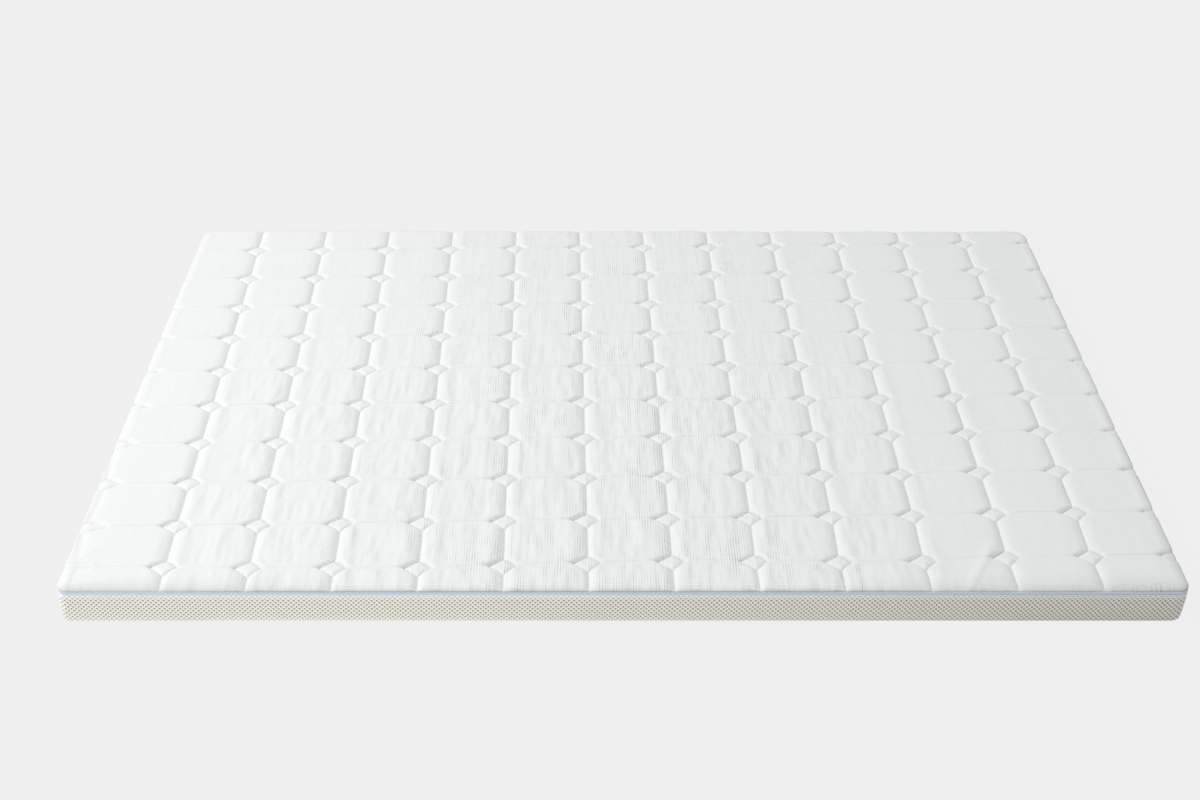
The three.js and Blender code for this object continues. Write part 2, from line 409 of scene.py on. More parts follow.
def folds(at):
    """Soft folds of the knit: a dip beside each long channel, long waves and patches, which fade to the
    right and the back, and besides them a swell, puckers at the front seam, and the one long fold."""
    zone = smooth_step(at.x, -0.95, -0.75) * (1 - 0.75 * smooth_step(at.x, 0.5, 0.8))
    nearness = 1 - 0.75 * smooth_step(at.y, -0.1, 0.45)
    depth = DIP_DEPTH * (0.6 + 0.4 * value_noise(at.cell_u * 7.1, at.cell_v * 2.9, seed=13))
    start = 26 * MM + 3 * MM * value_noise(at.cell_u * 1.9, at.y / 0.06, seed=16)
    dip = depth * smooth_step(at.from_left, start, start + 10 * MM) * fade(at.from_left, 44 * MM, 112 * MM)
    middle = smooth_step(at.x, -0.4, -0.25) * fade(at.x, 0.25, 0.4)
    long_wave = WAVE_HEIGHT * (1 + middle) * value_noise(at.x / 0.024, at.y / 0.2, seed=11)
    patches = PATCH_HEIGHT * value_noise(at.x / 0.035, at.y / 0.11, seed=17)
    swell = SWELL_HEIGHT * value_noise(at.x / 0.07, at.y / 0.09, seed=15)

    from_seam = at.y + HALF_WIDTH
    at_seam = np.exp(-np.maximum(from_seam, 0) / 0.03)
    pucker_zone = 0.35 + smooth_step(at.x, -0.05, 0.1) * fade(at.x, 0.5, 0.62)
    pucker = PUCKER_HEIGHT * at_seam * pucker_zone * value_noise(at.x / 0.017, at.y / 0.2, seed=14)

    inward = from_seam / FRONT_FOLD["length"]
    beside = at.x + HALF_LENGTH - FRONT_FOLD["start"] - FRONT_FOLD["slant"] * inward
    fold = FRONT_FOLD["height"] * bell(beside, 0, FRONT_FOLD["reach"])
    fold = fold * smooth_step(inward, 0.0, 0.1) * fade(inward, 0.7, 1.1)
    return zone * nearness * (long_wave + patches - dip) + pucker + swell + fold


def from_stitches(at):
    """Distance from the nearest stitches."""
    to_long_channel = np.where(at.sewn, np.abs(at.dx - SEAM_OFFSET), 1.0)
    to_channel = np.minimum(to_long_channel, np.abs(at.dy))
    return np.where(at.in_diamond, -at.beyond, np.minimum(to_channel, np.abs(at.beyond)))


def dashes_shown(at):
    """How much the knit's dashes show: beside the channel at each pad's right and in the dip at its
    left, less towards both ends of the cover."""
    flank = smooth_step(at.dx - SEAM_OFFSET, -28 * MM, -16 * MM) * fade(at.dx, 0, 3 * MM) * at.sewn
    hollow = smooth_step(at.from_left, 22 * MM, 30 * MM) * fade(at.from_left, 42 * MM, 58 * MM)
    by_length = 0.3 + 0.7 * smooth_step(at.x, -0.8, -0.5) * fade(at.x, 0.35, 0.6)
    return np.maximum(flank, hollow) * by_length * ~at.in_diamond


def quilted_surface(at):
    """Height of the quilted top, and its share of a pad's rise."""
    rise = np.where(at.in_diamond, pillow_rise(at), pad_rise(at))
    on_pad = smooth_step(rise, 0.3 * PAD_RISE, 0.8 * PAD_RISE) * ~at.in_diamond
    rise = rise + folds(at) * on_pad
    return CHANNEL_FLOOR + rise, np.clip(rise / PAD_RISE, 0, 1)


def corner_radius(x, y):
    """The radius of the seam's nearest corner."""
    front = np.where(x < 0, CORNER_RADII["front_left"], CORNER_RADII["front_right"])
    back = np.where(x < 0, CORNER_RADII["back_left"], CORNER_RADII["back_right"])
    return np.where(y < 0, front, back)


def from_edge(x, y):
    """How far inside the seam's outline each place lies, the outward direction there, and how far it is
    from the nearest corner's arc."""
    radius = corner_radius(x, y)
    past_x = np.abs(x) - HALF_LENGTH + radius
    past_y = np.abs(y) - HALF_WIDTH + radius
    outside = np.hypot(np.maximum(past_x, 0), np.maximum(past_y, 0))
    inset = radius - outside - np.minimum(np.maximum(past_x, past_y), 0)
    in_corner = (past_x > 0) & (past_y > 0)
    length = np.maximum(outside, 1e-9)
    way_x = np.where(in_corner, past_x / length, (past_x >= past_y) * 1.0)
    way_y = np.where(in_corner, past_y / length, (past_x < past_y) * 1.0)
    return inset, way_x * np.sign(x), way_y * np.sign(y), np.maximum(-np.minimum(past_x, past_y), 0)


def along_rim(x, y):
    """A length that runs on round the rim, for wrinkles that lie across it."""
    radius = corner_radius(x, y)
    past_x = np.maximum(np.abs(x) - HALF_LENGTH + radius, 0)
    past_y = np.maximum(np.abs(y) - HALF_WIDTH + radius, 0)
    straight = x - np.sign(x) * past_x + y - np.sign(y) * past_y
    return straight + radius * np.arctan2(past_y, past_x + 1e-9)


def roll_curve(roll, inset, width):
    """Outward place and share of the height on a rounded edge, at each distance from the panel's edge."""
    t = np.minimum(inset / width, 1)
    weights = [(1 - t) ** 3, 3 * t * (1 - t) ** 2, 3 * t * t * (1 - t), t**3]
    out = sum(w * p for w, p in zip(weights, (*roll["out"], -PANEL_INSET - width)))
    up = sum(w * p for w, p in zip(weights, roll["up"]))
    return np.stack([np.where(t < 1, out, -PANEL_INSET - inset), up])


def softness_of(x):
    """How soft the front edge's rounding is along the length: softest at the left, then at the right."""
    return fade(x, -0.95, -0.3) + 0.8 * smooth_step(x, 0.3, 0.6)


def painted_rim_shade(x, y, inset, frontness, rightness, low):
    """Painted shade on the knit towards the seam, where the rounded edge turns down: broadly where the
    front is soft and at the right end, and else only low down, with more near the front right corner.
    low is the missing share of the height."""
    broad = softness_of(x) * frontness + 0.8 * rightness * (1 - 0.5 * smooth_step(y, -0.2, 0.4))
    painted_shade = broad * (0.16 * np.sqrt(low) + 0.5 * low**5) + (1 - broad) * 0.35 * low**2
    near_corner = smooth_step(x, 0.75, 0.98) * fade(y, -0.72, -0.4)
    return np.minimum(painted_shade, RIM_PAINTED_SHADE) + CORNER_PAINTED_SHADE * near_corner * fade(inset, 0, 50 * MM)


def rolled_edge(x, y, top, share):
    """The panel's outer strip moved onto the rounded edge that hangs over the piping, and the painted
    shade on its knit there."""
    seam_inset, way_x, way_y, from_corner = from_edge(x, y)
    inset = np.maximum(seam_inset - PANEL_INSET, 0)
    frontness = np.clip(-way_y, 0, 1)
    opened = smooth_step(from_corner, 0, 0.1)
    corner_width = 0.9 * (corner_radius(x, y) - PANEL_INSET)
    rolls = []
    for roll in (SIDE_ROLL, FRONT_ROLL, SOFT_ROLL):
        narrow = np.minimum(corner_width, roll["width"])
        rolls.append(roll_curve(roll, inset, narrow + (roll["width"] - narrow) * opened))
    side, firm, soft = rolls
    front = firm + (soft - firm) * softness_of(x)
    out, up = side + (front - side) * frontness
    move = (0.92 + 0.08 * share) * (out + PANEL_INSET + inset)
    lift = RIM_LIFT - (RIM_LIFT + FRONT_DROOP) * frontness
    rim = RIM_HEIGHT + lift * np.minimum(inset / RIM_LIFT_REACH, 1)
    # painted shade: the knit darkened where the rounded edge turns down towards the seam
    painted_shade = painted_rim_shade(x, y, inset, frontness, np.clip(way_x, 0, 1), np.clip(1 - up, 0, 1))
    return x + way_x * move, y + way_y * move, rim + (top - rim) * up, painted_shade


def new_piece(name, mesh, material, node):
    """A finished piece that rides on the one body and stands for a CAD node."""
    piece = bpy.data.objects.new(name, mesh)
    bpy.context.scene.collection.objects.link(piece)
    mesh.materials.append(material)
    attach(piece, "root")
    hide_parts(node)
    return piece


def mesh_of(name, points, faces):
    """A smooth mesh from an array of points and an array of faces with the same number of corners."""
    mesh = bpy.data.meshes.new(name)
    mesh.vertices.add(len(points))
    mesh.vertices.foreach_set("co", np.asarray(points, np.float32).ravel())
    mesh.loops.add(faces.size)
    mesh.loops.foreach_set("vertex_index", faces.astype(np.int32).ravel())
    mesh.polygons.add(len(faces))
    mesh.polygons.foreach_set("loop_start", np.arange(0, faces.size, faces.shape[1], dtype=np.int32))
    mesh.update(calc_edges=True)
    mesh.polygons.foreach_set("use_smooth", np.ones(len(faces), bool))
    return mesh


def flat_points(x, y):
    """Points on the floor from a grid of x and a grid of y."""
    return np.stack([x, y, 0 * x], -1).reshape(-1, 3)


def grid_faces(rows, columns, closed_rows=False, closed_columns=False):
    """Corner numbers of the quads of a grid of points stored row by row."""
    r = np.arange(rows if closed_rows else rows - 1)[:, None]
    c = np.arange(columns if closed_columns else columns - 1)[None, :]
    next_r, next_c = (r + 1) % rows, (c + 1) % columns
    corners = [r * columns + c, r * columns + next_c, next_r * columns + next_c, next_r * columns + c]
    return np.stack([np.broadcast_to(k, (r.size, c.size)) for k in corners], -1).reshape(-1, 4)


def coordinates_of(mesh):
    """The mesh's points as an array of rows."""
    points = np.empty(len(mesh.vertices) * 3, np.float32)
    mesh.vertices.foreach_get("co", points)
    return points.reshape(-1, 3).astype(float)


def store(mesh, name, values):
    """Keeps one number for each vertex, for the material to read."""
    layer = mesh.attributes.new(name, "FLOAT", "POINT")
    layer.data.foreach_set("value", np.asarray(values, np.float32))


def shell_of(mesh):
    """A copy of the mesh to cut and extrude."""
    shell = bmesh.new()
    shell.from_mesh(mesh)
    return shell


def vertices_in(parts):
    return [part for part in parts if isinstance(part, bmesh.types.BMVert)]


def put_back(shell, mesh):
    """Turns the shell's faces outwards and puts it into the mesh."""
    bmesh.ops.recalc_face_normals(shell, faces=shell.faces[:])
    shell.to_mesh(mesh)
    shell.free()


def feed(tree, socket, value):
    """Sets a socket to a value, or links another socket to it."""
    if isinstance(value, bpy.types.NodeSocket):
        tree.links.new(value, socket)
    else:
        socket.default_value = value


def put(tree, kind, inputs=None, **settings):
    """A new node with its settings, its inputs set to a value or linked to a socket."""
    node = tree.nodes.new(kind)
    for name, value in settings.items():
        setattr(node, name, value)
    for name, value in (inputs or {}).items():
        feed(tree, node.inputs[name], value)
    return node


def maths(tree, operation, a, b=0.0):
    return put(tree, "ShaderNodeMath", {0: a, 1: b}, operation=operation).outputs[0]


def product(tree, result, *others):
    """Several numbers multiplied together."""
    for other in others:
        result = maths(tree, "MULTIPLY", result, other)
    return result


def total(tree, result, *others):
    """Several numbers added together."""
    for other in others:
        result = maths(tree, "ADD", result, other)
    return result


def ripple(tree, value, pitch, shape="SINE"):
    """A wave from -1 to 1 that repeats at each pitch."""
    return maths(tree, shape, product(tree, value, 2 * math.pi / pitch))


def between(tree, value, low, high, start=0.0, end=1.0):
    """A smooth change from start to end while the value goes from low to high."""
    inputs = {"Value": value, "From Min": low, "From Max": high, "To Min": start, "To Max": end}
    return put(tree, "ShaderNodeMapRange", inputs, interpolation_type="SMOOTHSTEP").outputs["Result"]


def object_place(tree):
    return put(tree, "ShaderNodeTexCoord").outputs["Object"]


def cloth_place(tree):
    """The map in metres that a swept ring carries."""
    return put(tree, "ShaderNodeUVMap", uv_map="cloth").outputs[0]


def x_and_y(tree, place):
    split = put(tree, "ShaderNodeSeparateXYZ", {0: place})
    return split.outputs["X"], split.outputs["Y"]


def stretched(tree, place, times):
    """A place multiplied by its own number along each axis."""
    return put(tree, "ShaderNodeVectorMath", {0: place, 1: times}, operation="MULTIPLY").outputs[0]


def noise(tree, place, scale=1.0, detail=1.0):
    """Smooth noise from 0 to 1."""
    return put(tree, "ShaderNodeTexNoise", {"Vector": place, "Scale": scale, "Detail": detail}).outputs["Fac"]


def stored(tree, name):
    """A number that is kept on the mesh's vertices."""
    return put(tree, "ShaderNodeAttribute", attribute_name=name).outputs["Fac"]


def mix_colours(tree, share, a, b):
    return put(tree, "ShaderNodeMix", {"Factor": share, 6: a, 7: b}, data_type="RGBA").outputs[2]


def tinted(tree, base, tone):
    """A colour multiplied by a tone."""
    return put(tree, "ShaderNodeVectorMath", {0: base, "Scale": tone}, operation="SCALE").outputs[0]


def add_relief(tree, shader, height, distance, strength):
    """Bump on the shader from a height."""
    bump = put(tree, "ShaderNodeBump", {"Height": height, "Distance": distance, "Strength": strength})
    feed(tree, shader.inputs["Normal"], bump.outputs[0])


def colour(name):
    """A display colour as the linear numbers that shaders take, with full alpha."""
    share = np.array(COLOURS[name]) / 255
    return (*np.where(share <= 0.04045, share / 12.92, ((share + 0.055) / 1.055) ** 2.4), 1)


def new_group(name, inputs, outputs):
    """An empty shader group with named sockets: each is (name, kind) or (name, kind, default)."""
    group = bpy.data.node_groups.new(name, "ShaderNodeTree")
    for way, sockets in (("INPUT", inputs), ("OUTPUT", outputs)):
        for label, kind, *default in sockets:
            socket = group.interface.new_socket(label, in_out=way, socket_type="NodeSocket" + kind)
            if default:
                socket.default_value = default[0]
    return group, group.nodes.new("NodeGroupInput"), group.nodes.new("NodeGroupOutput")


def put_group(tree, group, inputs):
    """The output of a shader group placed in a material, with its inputs set or linked."""
    return put(tree, "ShaderNodeGroup", inputs, node_tree=group).outputs[0]


def new_material(name, **settings):
    """A new material with its node tree and its shader, whose sockets are set."""
    material = bpy.data.materials.new(name)
    material.use_nodes = True
    shader = material.node_tree.nodes["Principled BSDF"]
    for label, value in {"Specular_IOR_Level": 0.2, **settings}.items():
        shader.inputs[label.replace("_", " ")].default_value = value
    return material, material.node_tree, shader


def mottle_group():
    """Slow, soft changes of tone over cloth, as a factor near 1."""
    group, given, result = new_group(
        "mottle", [("Size", "Float", 0.1), ("Strength", "Float", 0.02)], [("Tone", "Float")]
    )
    scale = maths(group, "DIVIDE", 1.0, given.outputs["Size"])
    centred = maths(group, "SUBTRACT", noise(group, object_place(group), scale, 3.0), 0.5)
    swing = product(group, centred, given.outputs["Strength"])
    feed(group, result.inputs["Tone"], total(group, swing, 1.0))
    return group


def weave_group():
    """Height of a fine plain weave, from 0 to 1, over a flat pair of coordinates."""
    group, given, result = new_group(
        "weave", [("Place", "Vector"), ("Threads", "Float", 1200.0)], [("Height", "Float")]
    )
    turn = product(group, given.outputs["Threads"], math.pi)
    waves = [
        maths(group, "ABSOLUTE", maths(group, "SINE", product(group, way, turn)))
        for way in x_and_y(group, given.outputs["Place"])
    ]
    feed(group, result.inputs["Height"], product(group, *waves))
    return group


mottle = mottle_group()
weave = weave_group()


def knit_streaks(tree, place, x, uneven):
    """Height of the fine ribs from front to back, and of the soft streaks in which they show. Both are
    strongest in the middle of the length."""
    middle = between(tree, maths(tree, "ABSOLUTE", x), 0.15, 0.6, 2.0, 1.0)
    patch = between(tree, noise(tree, place, PATCHES_PER_METRE, 2.0), 0.4, 0.65, 0.2, 1.0)
    wave = noise(tree, stretched(tree, place, STREAKS_PER_METRE), 1.0, 2.0)
    streak = between(tree, wave, 0.4, 0.62, 0.15, 2.0)
    ribs = product(tree, ripple(tree, x, RIB_PITCH), patch, middle, streak, uneven, RIB_RELIEF)
    relief = product(tree, wave, maths(tree, "SUBTRACT", middle, 0.8), STREAK_RELIEF)
    return total(tree, ribs, relief)


def knit_folds(tree, place, x, y, stitches):
    """Height of the knit's small folds on the pads, which fade to the left edge, the right and the back."""
    soft = noise(tree, stretched(tree, place, FOLDS_PER_METRE))
    slack = product(
        tree,
        between(tree, x, -0.95, -0.7, 0.0, FOLD_RELIEF),
        between(tree, x, 0.4, 0.65, 1.0, 0.15),
        between(tree, y, -0.15, 0.4, 1.0, 0.2),
        between(tree, stitches, 4 * MM, 20 * MM, 0.0, 1.0),
    )
    return product(tree, maths(tree, "SUBTRACT", soft, 0.5), slack)


def front_fold_crest(tree, x, y):
    """Height of the sharper crest along the one long fold at the front right."""
    beside = maths(tree, "SUBTRACT", x, product(tree, y, CREST_SLANT))
    off_crest = maths(tree, "ABSOLUTE", maths(tree, "SUBTRACT", beside, CREST_PLACE))
    crest = between(tree, off_crest, 1 * MM, 16 * MM, CREST_RELIEF, 0.0)
    return product(tree, crest, between(tree, y, -0.64, -0.57, 1.0, 0.0))


def rim_wrinkles(tree, x):
    """Height of the short wrinkles across the rim, which grow towards the right end."""
    along = product(tree, stored(tree, "along_rim"), WRINKLES_PER_METRE)
    wrinkle = noise(tree, put(tree, "ShaderNodeCombineXYZ", {0: along}).outputs[0])
    at_rim = between(tree, stored(tree, "from_rim"), 6 * MM, 28 * MM, WRINKLE_RELIEF, 0.0)
    return product(tree, wrinkle, at_rim, between(tree, x, 0.6, 0.98, 1.0, 2.2))


def quilt_material():
    """White ribbed knit: fine ribs in streaks, short dashes across them, soft folds, wrinkles at the
    rim, and painted light and shade: darker in the channels and towards the seam, darker and lighter along
    the dashes."""
    material, tree, shader = new_material(
        "quilted_knit", Roughness=0.85, Sheen_Weight=0.1, Sheen_Roughness=0.5
    )
    place = object_place(tree)
    x, y = x_and_y(tree, place)
    stitches = stored(tree, "from_stitches")
    uneven = between(tree, noise(tree, place, SPOTS_PER_METRE), 0.3, 0.7, 0.3, 1.7)
    dashes = product(tree, ripple(tree, y, DASH_PITCH), stored(tree, "cross_ribs"), uneven)
    height = total(
        tree,
        knit_streaks(tree, place, x, uneven),
        product(tree, dashes, DASH_RELIEF),
        product(tree, noise(tree, place, LOOPS_PER_METRE, 2.0), LOOP_RELIEF),
        knit_folds(tree, place, x, y, stitches),
        front_fold_crest(tree, x, y),
        rim_wrinkles(tree, x),
    )
    add_relief(tree, shader, height, RELIEF_UNIT, 0.6)

    tone = put_group(tree, mottle, {"Size": 0.12, "Strength": 0.02})
    # painted shade: the knit darker at the stitches, in the channels' creases
    painted_crease_shade = between(tree, stitches, 0.0, 3 * MM, 0.94, 1.0)
    # painted shading of the dashes: darker in their grooves and lighter on their crests
    painted_dash_shading = total(tree, product(tree, dashes, 0.05), 1.0)
    # yarn here is the knit's tone with the painted shading of the dashes, less the painted shade towards the
    # seam
    yarn = maths(tree, "SUBTRACT", painted_dash_shading, stored(tree, "rim_shade"))
    white = tinted(tree, colour("knit")[:3], product(tree, tone, painted_crease_shade, yarn))
    feed(tree, shader.inputs["Base Color"], white)
    return material


def piping_material():
    """Light blue woven cloth over the cord."""
    material, tree, shader = new_material("piping_cloth", Roughness=0.7, Sheen_Weight=0.1)
    height = put_group(tree, weave, {"Place": cloth_place(tree), "Threads": CORD_THREADS})
    add_relief(tree, shader, height, 0.4 * MM, 0.7)
    blue = mix_colours(tree, height, colour("cord_between"), colour("cord_thread"))
    feed(tree, shader.inputs["Base Color"], blue)
    return material


def mesh_material():
    """Beige spacer mesh: bright yarns round small dark holes, paler and bluer along the piping. The
    holes' dark is partly the inner layer seen through and partly painted shade in the hollows.
    """
    material, tree, shader = new_material("spacer_mesh", Roughness=0.8, Sheen_Weight=0.1)
    along, up = x_and_y(tree, cloth_place(tree))
    hole = product(tree, ripple(tree, along, HOLE_PITCH, "COSINE"), ripple(tree, up, 2 * HOLE_ROW, "COSINE"))
    # dark holes: partly the inner layer, partly painted shade in the hollows
    dark = between(tree, hole, 0.15, 0.75)
    high = between(tree, up, -13 * MM, -5 * MM)
    yarn = mix_colours(tree, high, colour("mesh_yarn"), colour("mesh_yarn_at_cord"))
    inside = mix_colours(tree, high, colour("mesh_hole"), colour("mesh_hole_at_cord"))
    tone = put_group(tree, mottle, {"Size": 0.06, "Strength": 0.05})
    beige = tinted(tree, mix_colours(tree, dark, yarn, inside), tone)
    feed(tree, shader.inputs["Base Color"], beige)
    add_relief(tree, shader, maths(tree, "SUBTRACT", 1.0, dark), 0.8 * MM, 1.0)
    return material


def cloth_material(name, thread, gap, threads):
    """Plain woven cloth between two colours."""
    material, tree, shader = new_material(name, Roughness=0.85, Sheen_Weight=0.1)
    height = put_group(tree, weave, {"Place": object_place(tree), "Threads": threads})
    add_relief(tree, shader, height, 0.4 * MM, 0.6)
    tone = put_group(tree, mottle, {"Size": 0.15, "Strength": 0.05})
    cloth = tinted(tree, mix_colours(tree, height, colour(gap), colour(thread)), tone)
    feed(tree, shader.inputs["Base Color"], cloth)
    return material


def floor_material():
    """Pale paper that the camera sees in one even tone, and that lights the cover more from the left."""
    material, tree, shader = new_material(
        "floor_paper", Roughness=0.95, Specular_IOR_Level=0.0, Emission_Color=(1, 1, 1, 1)
    )
    seen = put(tree, "ShaderNodeLightPath").outputs["Is Camera Ray"]
    grey = mix_colours(tree, seen, (0.12, 0.12, 0.12, 1), (0.02, 0.02, 0.02, 1))
    feed(tree, shader.inputs["Base Color"], grey)
    x, _ = x_and_y(tree, object_place(tree))
    glow = between(tree, x, -0.8, 1.6, 0.95, 0.18)
    shown = put(tree, "ShaderNodeMix", {"Factor": seen, "A": glow, "B": FLOOR_SEEN}).outputs[0]
    feed(tree, shader.inputs["Emission Strength"], shown)
    return material


def mesh_lines(pad_lines, pitch, count, offset=0.0, widening=1.0):
    """Places of the mesh's lines along the lattice, crowded at the channels."""
    right = offset + NEAR_LINES * (widening - offset / DIAMOND_REACH)
    left = pitch + offset - NEAR_LINES[:0:-1] * (widening + offset / DIAMOND_REACH)
    cell = np.concatenate([right, pad_lines, left]) / pitch
    return np.concatenate([k + cell for k in range(-2, count + 1)])


def quilting_grid():
    """A flat mesh that follows the channels, with each quad split the way that the diamond's side runs."""
    u, v = np.meshgrid(
        mesh_lines(PAD_COLUMN_LINES, COLUMN_PITCH, COLUMNS, SEAM_OFFSET, DIAMOND_WIDENING),
        mesh_lines(PAD_ROW_LINES, ROW_PITCH, ROWS),
    )
    pattern_x, y = lattice_place(u, v)
    x = pattern_x
    for _ in range(12):
        x = pattern_x - pulled_left(x, y)
    quads = grid_faces(*u.shape)
    middle_u = u.ravel()[quads].mean(1)
    middle_v = v.ravel()[quads].mean(1)
    side = (middle_u - np.rint(middle_u)) * COLUMN_PITCH - SEAM_OFFSET
    rising = (side * (middle_v - np.rint(middle_v)) < 0)[:, None]
    first = np.where(rising, quads[:, [0, 1, 2]], quads[:, [0, 1, 3]])
    second = np.where(rising, quads[:, [0, 2, 3]], quads[:, [1, 2, 3]])
    return mesh_of("quilt", flat_points(x, y), np.concatenate([first, second]))


def cut_at_edges(shell):
    """Cuts the flat grid to the panel's rectangle, and adds lines along its four edges."""
    for axis, edge in ((0, PANEL_HALF_LENGTH), (1, PANEL_HALF_WIDTH)):
        for side in (-1, 1):
            normal = [0, 0, 0]
            normal[axis] = side
            for line, inset in enumerate((0, *EDGE_LINES)):
                place = [0, 0, 0]
                place[axis] = side * (edge - inset)
                faces = shell.faces[:]
                trims = line == 0
                if not trims:
                    faces = [f for f in faces if side * f.calc_center_median()[axis] > edge - EDGE_STRIP]
                parts = set(faces)
                for face in faces:
                    parts.update(face.edges)
                    parts.update(face.verts)
                bmesh.ops.bisect_plane(
                    shell,
                    geom=list(parts),
                    plane_co=place,
                    plane_no=normal,
                    clear_outer=trims,
                    use_snap_center=True,
                    dist=EDGE_SNAP,
                )


def cut_and_close(mesh):
    """Cuts the flat grid out, and closes it with a wall down to a face at the UNDERSIDE_MARK."""
    shell = shell_of(mesh)
    cut_at_edges(shell)
    rim = [edge for edge in shell.edges if edge.is_boundary]
    for edge in rim:
        edge.smooth = False
    for vertex in vertices_in(bmesh.ops.extrude_edge_only(shell, edges=rim)["geom"]):
        vertex.co.z = UNDERSIDE_MARK
    bmesh.ops.edgeloop_fill(shell, edges=[edge for edge in shell.edges if edge.is_boundary])
    put_back(shell, mesh)


def round_corners(x, y):
    """Moves the points of the panel's square corners onto round ones."""
    radius = corner_radius(x, y) - PANEL_INSET
    past_x = np.clip((np.abs(x) - PANEL_HALF_LENGTH + radius) / radius, 0, 1)
    past_y = np.clip((np.abs(y) - PANEL_HALF_WIDTH + radius) / radius, 0, 1)
    both = (past_x > 0) & (past_y > 0)
    round_x = past_x * np.sqrt(1 - past_y * past_y / 2)
    round_y = past_y * np.sqrt(1 - past_x * past_x / 2)
    moved_x = np.where(both, np.sign(x) * (PANEL_HALF_LENGTH - radius + radius * round_x), x)
    moved_y = np.where(both, np.sign(y) * (PANEL_HALF_WIDTH - radius + radius * round_y), y)
    return moved_x, moved_y


def top_panel():
    """The quilted panel: a flat closed grid, whose upper points are raised to the quilting's relief."""
    mesh = quilting_grid()
    cut_and_close(mesh)
    points = coordinates_of(mesh)
    below = points[:, 2] < UNDERSIDE_MARK / 2
    x, y = round_corners(points[:, 0], points[:, 1])
    at = quilting_at(x, y)
    top, share = quilted_surface(at)
    new_x, new_y, height, painted_shade = rolled_edge(x, y, top, share)
    pairs = ((x, new_x), (y, new_y), (panel_low.z, height))
    shaped = np.stack([np.where(below, low, high) for low, high in pairs], -1)
    mesh.vertices.foreach_set("co", shaped.astype(np.float32).ravel())
    store(mesh, "from_stitches", np.where(below, 1.0, from_stitches(at)))
    store(mesh, "cross_ribs", np.where(below, 0.0, dashes_shown(at)))
    # rim_shade holds the painted shade towards the seam and near the front right corner
    store(mesh, "rim_shade", np.where(below, 0.0, painted_shade))
    store(mesh, "from_rim", np.where(below, 1.0, from_edge(x, y)[0]))
    store(mesh, "along_rim", along_rim(x, y))
    mesh.update()
    piece = new_piece("quilted_top", mesh, quilt_material(), "top_panel")


def seam_outline():
    """Places round the seam with their outward directions, and the length up to each."""
    runs = []
    order = (("front_right", 1, -1), ("back_right", 1, 1), ("back_left", -1, 1), ("front_left", -1, -1))
    for k, (name, side_x, side_y) in enumerate(order):
        radius = CORNER_RADII[name]
        centre = np.array([side_x * (HALF_LENGTH - radius), side_y * (HALF_WIDTH - radius)])
        angles = math.pi / 2 * (k - 1 + np.linspace(0, 1, CORNER_PLACES))
        ways = np.stack([np.cos(angles), np.sin(angles)], -1)
        runs.append(np.hstack([centre + radius * ways, ways]))
    outline = np.vstack([*runs, runs[0][:1]])
    return outline, lengths_along(outline[:, :2])


def seam_path(count):
    """Evenly spaced places on the seam's outline, and their outward directions."""
    outline, along = seam_outline()
    found = read_at(np.arange(count) * along[-1] / count, along, outline)
    ways = found[:, 2:] / np.linalg.norm(found[:, 2:], axis=1, keepdims=True)
    return found[:, :2], ways


def swept_ring(name, out, height, leaning=False):
    """A closed section swept round the seam: out and height are arrays of section by place."""
    path, ways = seam_path(out.shape[1])
    points = np.empty((*out.shape, 3))
    points[..., :2] = path + ways * out[..., None]
    points[..., 2] = height
    if leaning:
        lean = LEAN * np.clip(1 - points[..., 2] / BORDER_TOP, 0, 1) ** LEAN_POWER
        rightness = (1 + path[:, 0] / (HALF_LENGTH - CORNER_RADII["front_right"])) / 2
        points[..., 0] -= lean * np.clip(rightness, 0, 1)
    faces = grid_faces(*out.shape, closed_rows=True, closed_columns=True)
    return mesh_of(name, points.reshape(-1, 3), faces)


def lay_map(mesh, columns, step, along_section):
    """A map in metres: the length round the seam, and the length round the section."""
    rows = len(along_section)
    r = np.repeat(np.arange(rows), columns)
    c = np.tile(np.arange(columns), rows)
    x = np.stack([c, c + 1, c + 1, c], -1) * step
    ends = np.append(along_section, along_section[-1] + step)
    y = np.stack([ends[r], ends[r], ends[r + 1], ends[r + 1]], -1)
    layer = mesh.uv_layers.new(name="cloth")
    layer.data.foreach_set("uv", np.stack([x, y], -1).astype(np.float32).ravel())


def piping():
    """The cloth-covered cord in the seam, swept round it with a slight wave."""
    angle = 2 * math.pi * np.arange(CORD_SIDES)[:, None] / CORD_SIDES
    places = np.arange(CORD_PLACES)[None, :]
    wave = CORD_WAVE * value_noise(places / 9, 0.0 * places, seed=21)
    out = CORD_PUSH + wave + CORD_RADIUS * np.cos(angle)
    height = SEAM_HEIGHT - CORD_DROP + wave + CORD_RADIUS * np.sin(angle)
    mesh = swept_ring("piping_cord", out, height)
    step = seam_outline()[1][-1] / CORD_PLACES
    lay_map(mesh, CORD_PLACES, step, CORD_RADIUS * angle[:, 0])
    new_piece("blue_piping", mesh, piping_material(), "piping")


def smooth_curve(points):
    """Places close together on a smooth curve through the points, and the length up to each."""
    points = np.array(points)
    padded = np.vstack([2 * points[0] - points[1], points, 2 * points[-1] - points[-2]])
    runs = []
    for k in range(1, len(padded) - 2):
        before, start, end, after = padded[k - 1 : k + 3]
        t = np.linspace(0, 1, 40, endpoint=k == len(padded) - 3)[:, None]
        squared = 2 * before - 5 * start + 4 * end - after
        cubed = 3 * start - before - 3 * end + after
        runs.append(start + 0.5 * ((end - before) * t + squared * t**2 + cubed * t**3))
    curve = np.vstack(runs)
    return curve, lengths_along(curve)


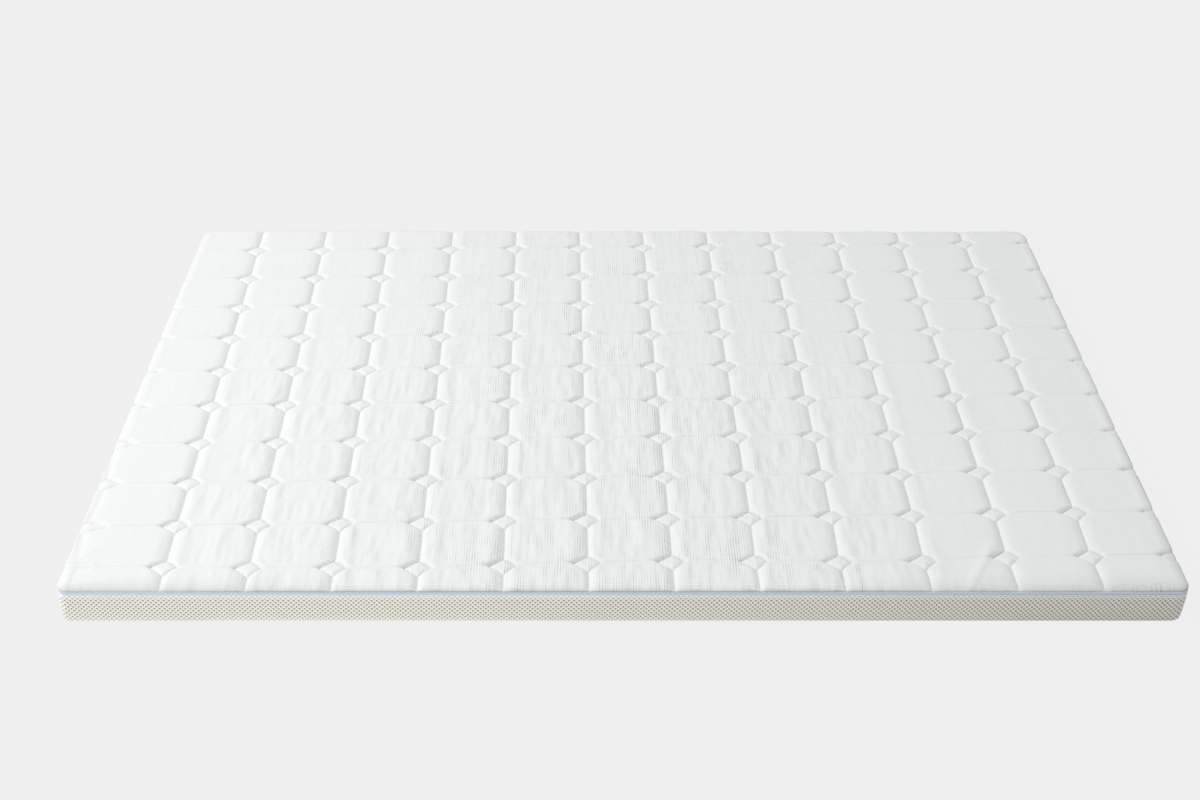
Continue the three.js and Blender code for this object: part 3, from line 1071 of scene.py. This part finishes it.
def border():
    """The side border: dimpled mesh on the outside, rolled under and closed by a plain inside."""
    round_it = seam_outline()[1][-1]
    columns = PLACES_PER_HOLE * round(round_it / HOLE_PITCH)
    curve, along = smooth_curve(BORDER_PROFILE)
    length = along[-1]
    hole_rows = np.arange(0, HOLES_END, HOLE_ROW / 2)
    down = np.concatenate([hole_rows, ROWS_BEYOND, [length]])
    section = read_at(down, along, curve)
    slope = np.gradient(section, axis=0)
    normal = np.stack([-slope[:, 1], slope[:, 0]], -1)
    normal = normal / np.linalg.norm(normal, axis=1, keepdims=True)

    places = np.arange(columns)[None, :]
    rows = down[:, None]
    hole = np.cos(2 * math.pi * places / PLACES_PER_HOLE) * np.cos(math.pi * rows / HOLE_ROW)
    dimple = HOLE_DEPTH * smooth_step(hole, -0.4, 1.0)
    dimple[0] = 0
    dimple[len(hole_rows):] = 0
    bulge = BORDER_BULGE * value_noise(places / 160, rows / 0.03, seed=31)
    bulge = bulge * smooth_step(rows, 0, 0.01) * fade(rows, 0.045, 0.06)
    inside = np.array(BORDER_INSIDE)
    out, height = [
        np.vstack([
            section[:, k, None] + normal[:, k, None] * (bulge - dimple),
            np.repeat(inside[:, k, None], columns, 1),
        ])
        for k in (0, 1)
    ]
    mesh = swept_ring("border_mesh", out, height, leaning=True)
    inside_rows = length + INSIDE_MAP_STEP * (1 + np.arange(len(inside)))
    lay_map(mesh, columns, HOLE_PITCH / PLACES_PER_HOLE, -np.concatenate([down, inside_rows]))
    piece = new_piece("mesh_border", mesh, mesh_material(), "border")


def base_panel():
    """The plain sheet below: flat where it rests, and closed on itself."""
    x, y = np.meshgrid(
        np.linspace(base_low.x, base_high.x, BASE_PLACES[0]),
        np.linspace(base_low.y, base_high.y, BASE_PLACES[1]),
    )
    sheet = mesh_of("base_sheet", flat_points(x, y), grid_faces(*x.shape))
    shell = shell_of(sheet)
    made = bmesh.ops.extrude_face_region(shell, geom=shell.faces[:])["geom"]
    bmesh.ops.translate(shell, vec=(0, 0, base_high.z), verts=vertices_in(made))
    put_back(shell, sheet)
    material = cloth_material("base_cloth", "base_thread", "base_between", BASE_THREADS)
    piece = new_piece("base_sheet", sheet, material, "base_panel")


def mattress():
    """The plain foam slab inside, which keeps the frame's own shape."""
    foam = cloth_material("foam", "foam", "foam_pores", FOAM_THREADS)
    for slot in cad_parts["mattress"].material_slots:
        slot.material = foam


def set_stage():
    """Pale floor, soft light from the left and all round, and the camera at the photo's angle."""
    bpy.ops.mesh.primitive_plane_add(size=FLOOR_SIZE, location=(0, 0, 0))
    floor = bpy.context.object
    floor.name = "floor"
    floor.data.materials.append(floor_material())

    world = bpy.data.worlds.new("studio")
    bpy.context.scene.world = world
    world.use_nodes = True
    sky = world.node_tree.nodes["Background"]
    sky.inputs["Color"].default_value = SKY_COLOUR
    sky.inputs["Strength"].default_value = SKY_STRENGTH

    light = bpy.data.lights.new("key", "AREA")
    light.shape = "SQUARE"
    light.size = LAMP_SIZE
    light.energy = LAMP_POWER
    lamp = bpy.data.objects.new("key", light)
    lamp.location = LAMP_PLACE
    lamp.rotation_euler = (-Vector(LAMP_PLACE)).to_track_quat("-Z", "Y").to_euler()
    bpy.context.scene.collection.objects.link(lamp)

    camera = bpy.data.cameras.new("camera")
    camera.lens = LENS
    camera.sensor_width = SENSOR_WIDTH
    eye = bpy.data.objects.new("camera", camera)
    eye.location = CAMERA_PLACE
    eye.rotation_euler = [math.radians(angle) for angle in CAMERA_TURN]
    bpy.context.scene.collection.objects.link(eye)
    bpy.context.scene.camera = eye
    bpy.context.scene.view_settings.view_transform = "Standard"


set_stage()
top_panel()
piping()
border()
base_panel()
mattress()
